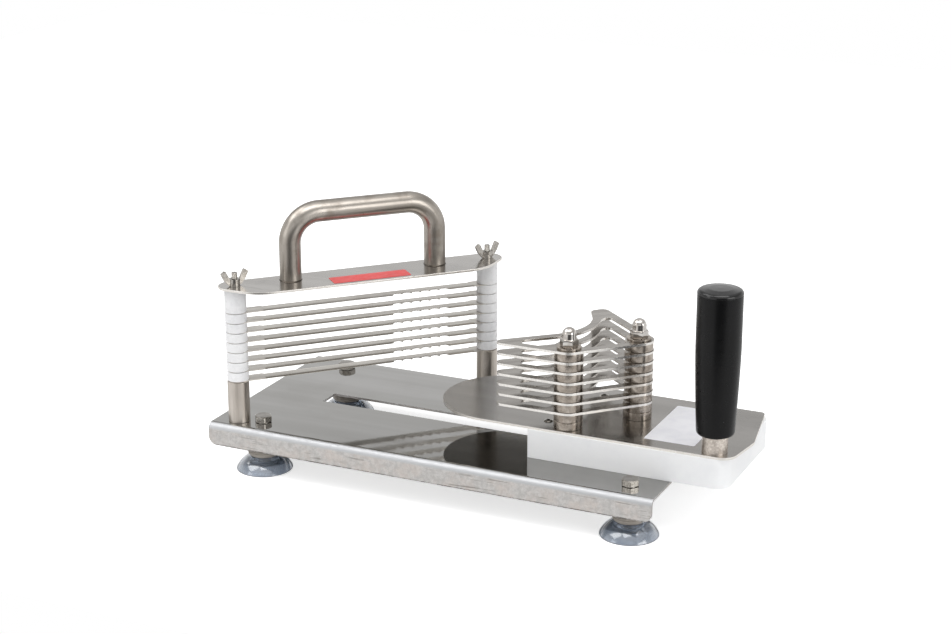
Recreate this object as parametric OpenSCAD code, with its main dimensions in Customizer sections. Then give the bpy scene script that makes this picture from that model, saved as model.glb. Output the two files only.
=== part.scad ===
// Push slicer for soft fruit: a folded base on suction cups, an askew stack of blades, and a
// slide that pushes a stack of plates between the blades. +X runs from the blade end to the
// grip end, +Y to the rear, +Z up, and the origin lies on the floor under the middle.

/* [Base] */
// Length of the base sheet
base_len = 390; // [386:1:460]
// Width of the base over its flanges
base_w = 192; // [184:1:240]
// Thickness of the folded sheet
sheet_t = 2; // [1.5:0.1:3]
// Height of the flanges, from the top face down
flange_h = 18.5; // [14:0.5:24]
// Outer radius of the fold
fold_r = 6; // [4:0.5:9]
// Radius of the lower flange corners
flange_corner_r = 7; // [3:0.5:12]
// Distance from the left edge to the slot
slot_inset = 61; // [54:1:66]
// Distance from the slot to the right edge
slot_end_inset = 16; // [12:1:24]
// Width of the slot
slot_w = 21; // [18:0.5:26]

/* [Feet] */
// Distance of the left feet from the left edge
foot_left_inset = 39.3; // [30:0.1:46]
// Distance of the right feet from the right edge
foot_right_inset = 26; // [24:0.5:40]
// Distance of the feet from the side edges
foot_side_inset = 23; // [22:0.5:26]
// Diameter of the suction cup rim
cup_d = 46.7; // [42:0.1:52]
// Height of a suction cup
cup_h = 12; // [10:0.5:15]
// Diameter of the hub inside a cup
cup_hub_d = 22.7; // [18:0.1:23]
// Height of the hub inside a cup
cup_hub_h = 7; // [6.5:0.1:8]
// Width of the flat rim under a cup
cup_rim_w = 2.3; // [1.5:0.1:4]
// Diameter of a collar
collar_d = 27; // [24:0.5:27]
// Height of a collar
collar_h = 27; // [22:0.5:34]
// Diameter of the foot bolts
foot_bolt_d = 8; // [6:0.5:9]
// Width of the foot bolt heads across flats
foot_bolt_af = 13; // [12:0.5:15]
// Height of the foot bolt heads
foot_bolt_head_h = 5.3; // [4:0.1:7]
// Length of the bolt inside the cup hub
foot_bolt_in_cup = 5; // [3:0.5:5.5]

/* [Blade frame] */
// Distance of the left post from the left edge
post_inset = 20.3; // [16:0.1:26]
// Distance of the left post from the front edge
post_side_inset = 16.6; // [15:0.1:20]
// Distance of the right post from the rear edge
post_rear_inset = 15.1; // [13:0.1:20]
// Angle of the blades across the base
frame_angle = 46.5; // [44:0.5:48]
// Diameter of the posts, rings and spacers
post_d = 18; // [15:0.5:20]
// Height of the steel post tubes
post_h = 35.4; // [34:0.1:42]
// Clear height between two blades
slice_gap = 7.6; // [6:0.1:10]
// Height of the top spacers
spacer_h = 19.7; // [12:0.1:26]
// Diameter of the tie rods
tie_rod_d = 5; // [4:0.5:6]
// Length of a tie rod above the top plate
tie_rod_above = 11.5; // [10:0.5:15]
// Thickness of the top plate
frame_plate_t = 2; // [1.5:0.1:4]
// Reach of the top plate behind the posts
frame_plate_rear = 14; // [12:0.5:16]
// Reach of the top plate beyond the ends
frame_plate_end = 12; // [11:0.5:15]
// Reach of the top plate in front of the posts
frame_plate_front = 28.5; // [24:0.5:36]
// Radius of the top plate around the posts
frame_plate_end_r = 12.5; // [9:0.5:14]
// Radius of the front corners of the top plate
frame_plate_front_r = 38; // [20:1:44]

/* [Blades] */
// Thickness of a blade
blade_t = 0.8; // [0.6:0.1:1.2]
// Reach of a blade in front of the posts
blade_front = 6; // [5:0.5:8]
// Reach of a blade behind the posts
blade_rear = 5; // [4:0.5:7]
// Width of the blade ends
tab_w = 13; // [12:0.5:16]
// Reach of a blade beyond the posts
tab_reach = 8; // [6:0.5:10]
// Radius of the corners of the blade ends
tab_r = 6; // [3:0.5:6.5]
// Length of the left blade end, from the post
tab_left_len = 22; // [18:1:30]
// Length of the right blade end, from the post
tab_right_len = 14; // [10:1:18]
// Distance from the teeth to the right post
teeth_right_in = 37.2; // [25:0.1:60]
// Distance between two teeth
tooth_pitch = 8.3; // [8.2:0.1:9]
// Radius of the hollows between the teeth
tooth_r = 4; // [2.5:0.1:4]
// Width of the ground bevel
bevel_w = 2.4; // [1:0.1:3.5]
// Thickness left at the cutting edge
edge_t = 0.2; // [0.1:0.05:0.4]

/* [Carrying handle] */
// Diameter of the handle bar
handle_d = 18; // [14:0.5:22]
// Distance between the handle legs
handle_span = 126; // [110:1:140]
// Height of the bar above the top plate
handle_rise = 55.7; // [48:0.5:70]
// Radius of the bends, on the centre line
handle_bend_r = 25; // [18:1:34]
// Size of the weld around the legs
weld_w = 0.6; // [0.3:0.1:2]

/* [Wing nuts] */
// Width over the wings
wing_span = 24.5; // [20:0.5:28]
// Height of a wing nut
wing_h = 13.7; // [12:0.1:16]
// Thickness of the wings
wing_t = 2.3; // [1.8:0.1:3]
// Diameter of the hub
wing_hub_d = 9; // [8:0.5:12]
// Height of the hub
wing_hub_h = 6; // [4:0.5:7.5]
// Direction of the left wings from the X axis
wing_left_angle = 56; // [0:1:180]
// Direction of the right wings from the X axis
wing_right_angle = 60; // [0:1:180]

/* [Slide] */
// Length of the slide block
block_len = 164.7; // [160:0.1:175]
// Distance of the slide block's sides from the base's side edges
block_side_inset = 41; // [37:0.5:44]
// Height of the slide block
block_h = 23.9; // [22:0.1:26]
// Radius of the corners at the grip end
block_corner_r = 12; // [4:0.5:16]
// Length of the tongue in the slot
tongue_len = 103.7; // [95:0.1:110]
// Length of the keeper strip
keeper_len = 96; // [80:1:103]
// Width of the keeper strip
keeper_w = 45; // [32:1:60]
// Thickness of the keeper strip
keeper_t = 4; // [3:0.5:6]
// Thickness of the carriage plate
plate_t = 2; // [1.5:0.1:3]
// Distance of the carriage plate's sides inside the block's
plate_side_in = 0.8; // [0.1:0.1:2]
// Reach of the round nose in front of the block
nose_reach = 94.5; // [80:0.5:100]
// Reach of the plate beyond the block's grip end
plate_end_over = 7.7; // [6.5:0.1:14]
// Distance of the point of the plate in front of the middle
plate_point_in = 12; // [0:0.5:24]
// Slope of the end at the rear, back from the point
plate_rear_back = 11.9; // [6:0.1:12]
// Slope of the end at the front, back from the point
plate_front_back = 5.5; // [3:0.1:8]
// Radius of the rear end corner
plate_rear_r = 4; // [2:0.5:10]
// Radius of the point
plate_point_r = 6; // [3:0.5:20]
// Radius of the front end corner
plate_front_r = 12; // [4:0.5:14]

/* [Pusher] */
// Distance of the front rod from the block's left face
rod_reach = 28.7; // [26:0.1:34]
// Distance of the front rod from the block's front side
rod_side_in = 13.9; // [13.5:0.1:16]
// Distance between the two rods
rod_span = 60.4; // [56:0.1:66]
// Diameter of the rods
rod_d = 8; // [6:0.5:9]
// Thickness of a pusher plate
pusher_t = 2; // [1.5:0.1:2.5]
// Diameter of the rings between the plates
pusher_ring_d = 23; // [20:0.5:24]
// Reach of the pusher plates beyond the rods
pusher_edge = 12; // [11.5:0.1:13]
// Width of the strips beside the openings
pusher_rim = 7; // [5:0.1:8]
// Radius of the hollow that takes the fruit
mouth_r = 45.8; // [42:0.1:48]
// Distance of the hollow's centre from the rod line
mouth_out = 81.4; // [79:0.1:84]
// Distance of the hollow's centre along the rod line
mouth_along = 7; // [5:0.1:9]
// Direction of the inner edge of the front prong
near_prong_angle = 42; // [40:0.5:44]
// Direction of the outer edge of the rear prong
far_prong_angle = 138.7; // [137:0.1:141]
// Length of the rear prong's outer edge
far_prong_len = 81; // [78:0.5:84]
// Width of the rear prong's tip
far_tip_w = 13.6; // [12.5:0.1:14.5]
// Radius of the prong tips
prong_tip_r = 5.5; // [4:0.1:6]
// Diameter of the washers
washer_d = 19.5; // [17:0.5:22]
// Thickness of the washers
washer_t = 1.6; // [1:0.1:2.5]
// Width of the dome nuts across flats
dome_af = 13; // [12:0.5:15]
// Height of the hexagon of a dome nut
dome_hex_h = 6.3; // [5:0.1:8]
// Diameter of the dome
dome_d = 11.5; // [11:0.1:12.5]
// Height of a dome nut
dome_h = 15.5; // [14:0.1:18]

/* [Grip] */
// Distance of the grip from the block's end
grip_end_in = 14.5; // [13:0.1:18]
// Distance of the grip from the block's front side
grip_side_in = 13.2; // [12:0.1:16]
// Diameter of the steel collar under the grip
spindle_collar_d = 20; // [16:0.5:24]
// Height of the steel collar under the grip
spindle_collar_h = 14; // [8:0.5:20]
// Length of the grip with its cap
grip_len = 116.3; // [100:0.5:130]
// Height of the cap on the grip
grip_cap_h = 4.5; // [4:0.1:6]
// Reach of the cap beyond the side of the grip
grip_cap_lip = 0.15; // [0.05:0.05:0.5]
// Largest diameter of the grip
grip_d = 34.9; // [30:0.1:38]
// Diameter of the grip at its foot
grip_foot_d = 29.4; // [26:0.1:30]
// Radius of the grip's edges
grip_edge_r = 3; // [1.5:0.1:5]
// Height of the crown on the grip's end
grip_crown_h = 1.2; // [0.5:0.1:3]
// Diameter of the spindle inside the grip
spindle_d = 10; // [9.5:0.5:12]

/* [Hidden] */

$fn = 72;
blade_count = 8;
tooth_count = 6;
// Largest distance between a drawn arc and the true one
arc_error = 0.02;
// Overrun of every cut
over = 1;
// Clearance around a bolt or rod in a plate, on the radius
hole_gap = 0.2;
// Clearance of a rod in its nut or insert, on the radius
thread_gap = 0.05;
// Gap between faces that slide or turn past each other
slide_gap = 0.1;
// Gap that the tongue keeps from the end of the slot
stop_gap = 0.3;

// Heights, from the top face of the base
base_top_z = sheet_t + collar_h + cup_h;
blade_pitch = slice_gap + blade_t;
stack_top_z = post_h + (blade_count - 1) * blade_pitch + blade_t;
frame_plate_z = stack_top_z + spacer_h;
frame_top_z = frame_plate_z + frame_plate_t;
block_top_z = slide_gap + block_h;
plate_top_z = block_top_z + plate_t;
pusher_ring_h = blade_pitch - pusher_t;
pusher_first_z = post_h + blade_t + slice_gap / 2 - pusher_t / 2;
pusher_top_z = pusher_first_z + (blade_count - 2) * blade_pitch + pusher_t;
foot_ring_count = 2;
foot_ring_h = (pusher_first_z - plate_top_z) / foot_ring_count;

// Places, from the left edge of the base and the middle of the slot
foot_y = base_w / 2 - foot_side_inset;
foot_right_x = base_len - foot_right_inset;
along = [cos(frame_angle), sin(frame_angle)];
forward = [sin(frame_angle), -cos(frame_angle)];
post_left = [post_inset, post_side_inset - base_w / 2];
post_span = (base_w - post_side_inset - post_rear_inset) / sin(frame_angle);
post_right = post_left + along * post_span;
slot_len = base_len - slot_inset - slot_end_inset;
slide_x = slot_inset + slot_len - stop_gap - tongue_len;
block_w = base_w - 2 * block_side_inset;
plate_w = block_w - 2 * plate_side_in;
rod_front = [slide_x + rod_reach, rod_side_in - block_w / 2];
rod_rear = rod_front + along * rod_span;
grip_at = [slide_x + block_len - grip_end_in, grip_side_in - block_w / 2];
plate_end_x = slide_x + block_len + plate_end_over;
middle_x = plate_end_x / 2;

function unit(v) = v / norm(v);
function heading(a) = [cos(a), sin(a)];
function turned(v, a) = [v.x * cos(a) - v.y * sin(a), v.x * sin(a) + v.y * cos(a)];
function cross_z(a, b) = a.x * b.y - a.y * b.x;

// Point where the line through p along u crosses the line through q along v
function meet(p, u, q, v) = p + u * cross_z(q - p, v) / cross_z(u, v);

// Steps of an arc of radius r over the angle a
function arc_steps(r, a) = max(3, ceil(abs(a) / (2 * acos(1 - min(arc_error / r, 0.1)))));

// Points of an arc about c from angle a0 to a1
function arc(c, r, a0, a1) =
    let (n = arc_steps(r, a1 - a0)) [for (i = [0:n]) c + r * heading(a0 + (a1 - a0) * i / n)];

// Points of the corner p between the points a and b, rounded by r
function corner(a, p, b, r) =
    r <= 0 ? [p] :
    let (u = unit(a - p), w = unit(b - p), half = acos(u * w) / 2)
    let (centre = p + unit(u + w) * r / sin(half), first = p + u * r / tan(half) - centre)
    let (turn = (180 - 2 * half) * (cross_z(u, w) > 0 ? -1 : 1), n = arc_steps(r, turn))
    [for (i = [0:n]) centre + turned(first, turn * i / n)];

// Outline through the points [x, y, radius], each corner rounded by its radius
function rounded(pts) =
    let (n = len(pts), flat = [for (p = pts) [p.x, p.y]])
    [for (i = [0:n - 1]) each corner(flat[(i + n - 1) % n], flat[i], flat[(i + 1) % n], pts[i].z)];

function with_r(p, r) = [p.x, p.y, r];

module place() {
    translate([-middle_x, 0, base_top_z]) children();
}

module at(p, z = 0) {
    translate([p.x, p.y, z]) children();
}

module in_frame(z) {
    at(post_left, z) rotate([0, 0, frame_angle]) children();
}

module hexagon(af, h) {
    chamfer_top_share = 0.96;
    top_r = af / 2 * chamfer_top_share;
    intersection() {
        cylinder(r = af / sqrt(3), h = h, $fn = 6);
        cylinder(r1 = top_r + h / tan(30), r2 = top_r, h = h);
    }
}

module ring(d, bore, h) {
    difference() {
        cylinder(d = d, h = h);
        translate([0, 0, -over]) cylinder(d = bore, h = h + 2 * over);
    }
}

// Base

module base() {
    side = base_w / 2;
    inner_r = fold_r - sheet_t;
    fold = rounded([
        [-side, -flange_h, 0], [-side, 0, fold_r], [side, 0, fold_r], [side, -flange_h, 0],
        [side - sheet_t, -flange_h, 0], [side - sheet_t, -sheet_t, inner_r],
        [sheet_t - side, -sheet_t, inner_r], [sheet_t - side, -flange_h, 0]]);
    ends = rounded([
        [0, -flange_h, flange_corner_r], [base_len, -flange_h, flange_corner_r],
        [base_len, over, 0], [0, over, 0]]);
    color("silver") place() difference() {
        intersection() {
            rotate([90, 0, 90]) linear_extrude(base_len) polygon(fold);
            rotate([90, 0, 0]) linear_extrude(base_w + 2 * over, center = true) polygon(ends);
        }
        translate([slot_inset, -slot_w / 2, -sheet_t - over])
            cube([slot_len, slot_w, sheet_t + 2 * over]);
        for (x = [foot_left_inset, foot_right_x], y = [-foot_y, foot_y])
            translate([x, y, -sheet_t - over])
                cylinder(r = foot_bolt_d / 2 + hole_gap, h = sheet_t + 2 * over);
        for (p = [post_left, post_right])
            at(p, -sheet_t - over)
                cylinder(r = tie_rod_d / 2 + hole_gap, h = sheet_t + 2 * over);
    }
}

// Feet

module suction_cup(x, y) {
    r = cup_d / 2;
    hub_r = cup_hub_d / 2;
    // Radius and height of the bell's outer and inner corners, as shares of the cup
    outer_shares = [[0.53, 1], [0.728, 0.725], [0.887, 0.5], [0.985, 0.29]];
    inner_shares = [[0.89, 0.19], [0.8, 0.4], [0.65, 0.62]];
    soft = cup_h / 3;
    bell = rounded(concat(
        [[0, cup_h - cup_hub_h, 0], [0, cup_h, 0]],
        [for (s = outer_shares) [s.x * r, s.y * cup_h, s.y < 1 ? soft : 0]],
        [[r, 0, 0], [r - cup_rim_w, 0, 0]],
        [for (s = inner_shares) [s.x * r, s.y * cup_h, soft]],
        [[hub_r, inner_shares[2].y * cup_h * 1.2, 0], [hub_r, cup_h - cup_hub_h, 0]]));
    depth = foot_bolt_in_cup + hole_gap;
    color([0.62, 0.72, 0.8, 0.6]) place() translate([x, y, -base_top_z]) difference() {
        rotate_extrude() polygon(bell);
        translate([0, 0, cup_h - depth])
            cylinder(r = foot_bolt_d / 2 + thread_gap, h = depth + over);
    }
}

module foot_collar(x, y) {
    r = collar_d / 2;
    hole_r = foot_bolt_d / 2 + hole_gap;
    foot_round = collar_h / 9;
    color("rosybrown") place() translate([x, y, -sheet_t - collar_h]) rotate_extrude()
        polygon(rounded([
            [hole_r, 0, 0], [r, 0, foot_round], [r, collar_h, foot_round / 4],
            [hole_r, collar_h, 0]]));
}

module foot_bolts() {
    len = sheet_t + collar_h + foot_bolt_in_cup;
    color("gainsboro") place()
        for (x = [foot_left_inset, foot_right_x], y = [-foot_y, foot_y])
            translate([x, y, 0]) {
                hexagon(foot_bolt_af, foot_bolt_head_h);
                translate([0, 0, -len]) cylinder(d = foot_bolt_d, h = len + foot_bolt_head_h / 2);
            }
}

module suction_cup_front_left() { suction_cup(foot_left_inset, -foot_y); }
module suction_cup_front_right() { suction_cup(foot_right_x, -foot_y); }
module suction_cup_rear_left() { suction_cup(foot_left_inset, foot_y); }
module suction_cup_rear_right() { suction_cup(foot_right_x, foot_y); }
module foot_collar_front_left() { foot_collar(foot_left_inset, -foot_y); }
module foot_collar_front_right() { foot_collar(foot_right_x, -foot_y); }
module foot_collar_rear_left() { foot_collar(foot_left_inset, foot_y); }
module foot_collar_rear_right() { foot_collar(foot_right_x, foot_y); }

// Posts of the blade frame

tie_bore = tie_rod_d + 2 * hole_gap;
tie_washer_d = tie_rod_d * 2.4;
tie_washer_t = tie_rod_d / 4;
tie_nut_af = tie_rod_d * 1.6;
tie_nut_h = tie_rod_d * 0.8;
tie_rod_below = sheet_t + tie_washer_t + tie_nut_h * 1.5;

module post_tube(p) {
    color("silver") place() at(p) ring(post_d, tie_bore, post_h);
}

module tie_rod(p) {
    tip = tie_rod_d / 8;
    r = tie_rod_d / 2;
    color("gainsboro") place() at(p, -tie_rod_below) rotate_extrude()
        polygon([
            [0, 0], [r - tip, 0], [r, tip], [r, tie_rod_below + frame_top_z + tie_rod_above - tip],
            [r - tip, tie_rod_below + frame_top_z + tie_rod_above],
            [0, tie_rod_below + frame_top_z + tie_rod_above]]);
}

module tie_rod_washers() {
    color("gainsboro") place() for (p = [post_left, post_right])
        at(p, -sheet_t - tie_washer_t) ring(tie_washer_d, tie_bore, tie_washer_t);
}

module tie_rod_nuts() {
    color("gainsboro") place() for (p = [post_left, post_right])
        at(p, -sheet_t - tie_washer_t) mirror([0, 0, 1]) difference() {
            hexagon(tie_nut_af, tie_nut_h);
            translate([0, 0, -over])
                cylinder(r = tie_rod_d / 2 + thread_gap, h = tie_nut_h + 2 * over);
        }
}

module post_tube_left() { post_tube(post_left); }
module post_tube_right() { post_tube(post_right); }
module tie_rod_left() { tie_rod(post_left); }
module tie_rod_right() { tie_rod(post_right); }

// Blades, drawn from the left post along the frame, with the cutting edge on the -Y side

module blade(i) {
    tab = tab_w / 2;
    right = post_span - tab_right_len;
    blend = tab - blade_rear;
    bevel_len = right - tab_left_len;
    bevel_angle = atan((blade_t - edge_t) / bevel_w);
    teeth_start = post_span - teeth_right_in - tooth_count * tooth_pitch;
    body = rounded([
        [-tab_reach, -tab, tab_r], [tab_left_len, -tab, 0], [tab_left_len + blend, -blade_front, 0],
        [right - blend, -blade_front, 0], [right, -tab, 0],
        [post_span + tab_reach, -tab, tab_r], [post_span + tab_reach, tab, tab_r],
        [right, tab, 0], [right - blend, blade_rear, 0],
        [tab_left_len + blend, blade_rear, 0], [tab_left_len, tab, 0], [-tab_reach, tab, tab_r]]);
    color("whitesmoke") place() in_frame(post_h + (i - 1) * blade_pitch) difference() {
        linear_extrude(blade_t) polygon(body);
        for (x = [0, post_span])
            translate([x, 0, -over]) cylinder(d = tie_bore, h = blade_t + 2 * over);
        for (k = [0:tooth_count - 1])
            translate([teeth_start + (k + 0.5) * tooth_pitch, -blade_front, -over])
                cylinder(r = tooth_r, h = blade_t + 2 * over);
        translate([tab_left_len, -blade_front, edge_t]) rotate([bevel_angle, 0, 0])
            translate([0, -blade_front, 0]) cube([bevel_len, blade_front + 2 * bevel_w, blade_front]);
    }
}

module blade_1() { blade(1); }
module blade_2() { blade(2); }
module blade_3() { blade(3); }
module blade_4() { blade(4); }
module blade_5() { blade(5); }
module blade_6() { blade(6); }
module blade_7() { blade(7); }
module blade_8() { blade(8); }

module blade_rings(p) {
    color("ivory") place() for (i = [0:blade_count - 2])
        at(p, post_h + blade_t + i * blade_pitch) ring(post_d, tie_bore, slice_gap);
}

module top_spacer(p) {
    color("ivory") place() at(p, stack_top_z) ring(post_d, tie_bore, spacer_h);
}

module blade_rings_left() { blade_rings(post_left); }
module blade_rings_right() { blade_rings(post_right); }
module top_spacer_left() { top_spacer(post_left); }
module top_spacer_right() { top_spacer(post_right); }

// Top of the blade frame

module top_plate() {
    rear = post_left - forward * frame_plate_rear;
    front = post_left + forward * frame_plate_front;
    left_end = post_left - [0, frame_plate_end];
    right_end = post_right + [frame_plate_end, 0];
    outline = rounded([
        with_r(meet(rear, along, left_end, [1, 0]), frame_plate_end_r),
        with_r(meet(front, along, left_end, [1, 0]), frame_plate_front_r),
        with_r(meet(front, along, right_end, [0, 1]), frame_plate_front_r),
        with_r(meet(rear, along, right_end, [0, 1]), frame_plate_end_r)]);
    color("silver") place() translate([0, 0, frame_plate_z]) difference() {
        linear_extrude(frame_plate_t) polygon(outline);
        for (p = [post_left, post_right])
            at(p, -over) cylinder(d = tie_bore, h = frame_plate_t + 2 * over);
    }
}

module carry_handle() {
    half = handle_span / 2;
    leg_h = handle_rise - handle_bend_r;
    color("silver") place() in_frame(frame_top_z) translate([post_span / 2, 0, 0]) {
        for (side = [0, 1]) mirror([side, 0, 0]) {
            translate([half, 0, 0]) {
                cylinder(d = handle_d, h = leg_h);
                cylinder(r1 = handle_d / 2 + weld_w, r2 = handle_d / 2, h = weld_w);
            }
            translate([half - handle_bend_r, 0, leg_h]) rotate([90, 0, 0])
                rotate_extrude(angle = 90) translate([handle_bend_r, 0]) circle(d = handle_d);
        }
        translate([handle_bend_r - half, 0, handle_rise]) rotate([0, 90, 0])
            cylinder(d = handle_d, h = handle_span - 2 * handle_bend_r);
    }
}

module wing_nut(p, angle) {
    half = wing_span / 2;
    // Corners of one wing, as shares of the half span and the height
    wing_shares = [[0.15, 0.05], [0.43, 0.05], [0.75, 0.36], [1, 0.8], [0.67, 1]];
    wing = rounded([for (s = wing_shares)
        [s.x * half, s.y * wing_h, s.y < 0.5 ? 0 : half / 10]]);
    color("gainsboro") place() at(p, frame_top_z + slide_gap) rotate([0, 0, angle]) difference() {
        union() {
            cylinder(d = wing_hub_d, h = wing_hub_h);
            for (side = [0, 1]) mirror([side, 0, 0]) rotate([90, 0, 0])
                linear_extrude(wing_t, center = true) polygon(wing);
        }
        translate([0, 0, -over]) cylinder(r = tie_rod_d / 2 + thread_gap, h = wing_h);
    }
}

module wing_nut_left() { wing_nut(post_left, wing_left_angle); }
module wing_nut_right() { wing_nut(post_right, wing_right_angle); }

label_t = 0.2;
label_r = 1.5;

module frame_label() {
    x = post_span / 2;
    // Length, depth and place of the label, as shares of the top plate's middle
    label_w = handle_span * 0.53;
    label_d = frame_plate_front * 0.58;
    label_in = frame_plate_front * 0.28;
    outline = rounded([
        [x - label_w / 2, -label_in - label_d, label_r], [x + label_w / 2, -label_in - label_d, label_r],
        [x + label_w / 2, -label_in, label_r], [x - label_w / 2, -label_in, label_r]]);
    color("firebrick") place() in_frame(frame_top_z) linear_extrude(label_t) polygon(outline);
}

// Slide

insert_d = rod_d * 1.5;
insert_h = block_h * 0.67;
thread_in = insert_h * 0.9;
screw_d = 4;
screw_head_d = 8;
keeper_screw_head_h = 2;
plate_screw_rise = 0.5;
plate_screw_len = 14;
keeper_screw_len = 13;
tongue_w = slot_w - 2 * slide_gap;
keeper_top_z = -sheet_t - slide_gap;
plate_screws_at = [[slide_x + block_len * 0.06, -block_w * 0.327],
    [slide_x + block_len * 0.176, block_w * 0.332]];
keeper_screws_at = [for (s = [0.16, 0.5, 0.84]) [slide_x + tongue_len * s, 0]];

module slide_block() {
    body = rounded([
        [0, -block_w / 2, 0], [block_len, -block_w / 2, block_corner_r],
        [block_len, block_w / 2, block_corner_r], [0, block_w / 2, 0]]);
    color("white") place() difference() {
        union() {
            translate([slide_x, 0, slide_gap]) linear_extrude(block_h) polygon(body);
            translate([slide_x, -tongue_w / 2, keeper_top_z])
                cube([tongue_len, tongue_w, block_h / 2]);
        }
        for (p = [rod_front, rod_rear, grip_at])
            at(p, block_top_z - insert_h)
                cylinder(r = insert_d / 2 + thread_gap, h = insert_h + over);
        for (p = plate_screws_at)
            at(p, plate_top_z - plate_screw_len - hole_gap)
                cylinder(r = screw_d / 2 + thread_gap, h = plate_screw_len + over);
        for (p = keeper_screws_at)
            at(p, keeper_top_z - over)
                cylinder(r = screw_d / 2 + thread_gap, h = keeper_screw_len - keeper_t + over + hole_gap);
    }
}

// Countersunk screw with its head up at height zero
module screw(len, head_h, rise) {
    neck = screw_d / 2;
    rotate_extrude() polygon([
        [0, -len], [neck, -len], [neck, -head_h], [screw_head_d / 2, 0],
        [screw_head_d / 2 * 0.8, rise * 0.7], [screw_head_d / 2 * 0.4, rise], [0, rise]]);
}

// Hole for that screw, wider by the hole gap
module screw_hole(t, head_h) {
    neck = screw_d / 2;
    slope = (screw_head_d / 2 - neck) / head_h;
    translate([0, 0, -t - over]) cylinder(r = neck + hole_gap, h = t + 2 * over);
    translate([0, 0, -head_h])
        cylinder(r1 = neck + thread_gap, r2 = neck + thread_gap + slope * (head_h + over),
            h = head_h + over);
}

module keeper() {
    mid = slide_x + tongue_len / 2;
    outline = rounded([
        [mid - keeper_len / 2, -keeper_w / 2, keeper_t], [mid + keeper_len / 2, -keeper_w / 2, keeper_t],
        [mid + keeper_len / 2, keeper_w / 2, keeper_t], [mid - keeper_len / 2, keeper_w / 2, keeper_t]]);
    color("white") place() difference() {
        translate([0, 0, keeper_top_z - keeper_t]) linear_extrude(keeper_t) polygon(outline);
        for (p = keeper_screws_at)
            at(p, keeper_top_z - keeper_t) mirror([0, 0, 1]) screw_hole(keeper_t, keeper_screw_head_h);
    }
}

module keeper_screws() {
    color("gainsboro") place() for (p = keeper_screws_at)
        at(p, keeper_top_z - keeper_t) mirror([0, 0, 1]) screw(keeper_screw_len, keeper_screw_head_h, 0);
}

module carriage_plate() {
    side = plate_w / 2;
    tip = slide_x - nose_reach;
    outline = rounded([
        [tip, -side, side], [plate_end_x - plate_front_back, -side, plate_front_r],
        [plate_end_x, -plate_point_in, plate_point_r],
        [plate_end_x - plate_rear_back, side, plate_rear_r], [tip, side, side]]);
    color("silver") place() translate([0, 0, block_top_z]) difference() {
        linear_extrude(plate_t) polygon(outline);
        for (p = [rod_front, rod_rear, grip_at])
            at(p, -over) cylinder(r = rod_d / 2 + hole_gap, h = plate_t + 2 * over);
        for (p = plate_screws_at)
            at(p, plate_t) screw_hole(plate_t, plate_t);
    }
}

module plate_screws() {
    color("gainsboro") place() for (p = plate_screws_at)
        at(p, plate_top_z) screw(plate_screw_len, plate_t, plate_screw_rise);
}

module thread_inserts() {
    color("goldenrod") place() for (p = [rod_front, rod_rear, grip_at])
        at(p, block_top_z - insert_h) ring(insert_d, rod_d + 2 * thread_gap, insert_h);
}

module carriage_label() {
    // Length and place of the label, as shares of the block
    label_w = block_len * 0.252;
    label_x = slide_x + block_len * 0.557;
    label_y = plate_w * 0.362;
    label_h = plate_w * 0.731;
    outline = rounded([
        [label_x, label_y - label_h, label_r], [label_x + label_w, label_y - label_h, label_r],
        [label_x + label_w, label_y, label_r], [label_x, label_y, label_r]]);
    color("white") place() translate([0, 0, plate_top_z]) linear_extrude(label_t) polygon(outline);
}

// Pusher

rod_in_dome = dome_h * 0.62;

module pusher_rod(p) {
    bottom = block_top_z - thread_in;
    color("gainsboro") place() at(p, bottom)
        cylinder(d = rod_d, h = pusher_top_z + washer_t + rod_in_dome - bottom);
}

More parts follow.
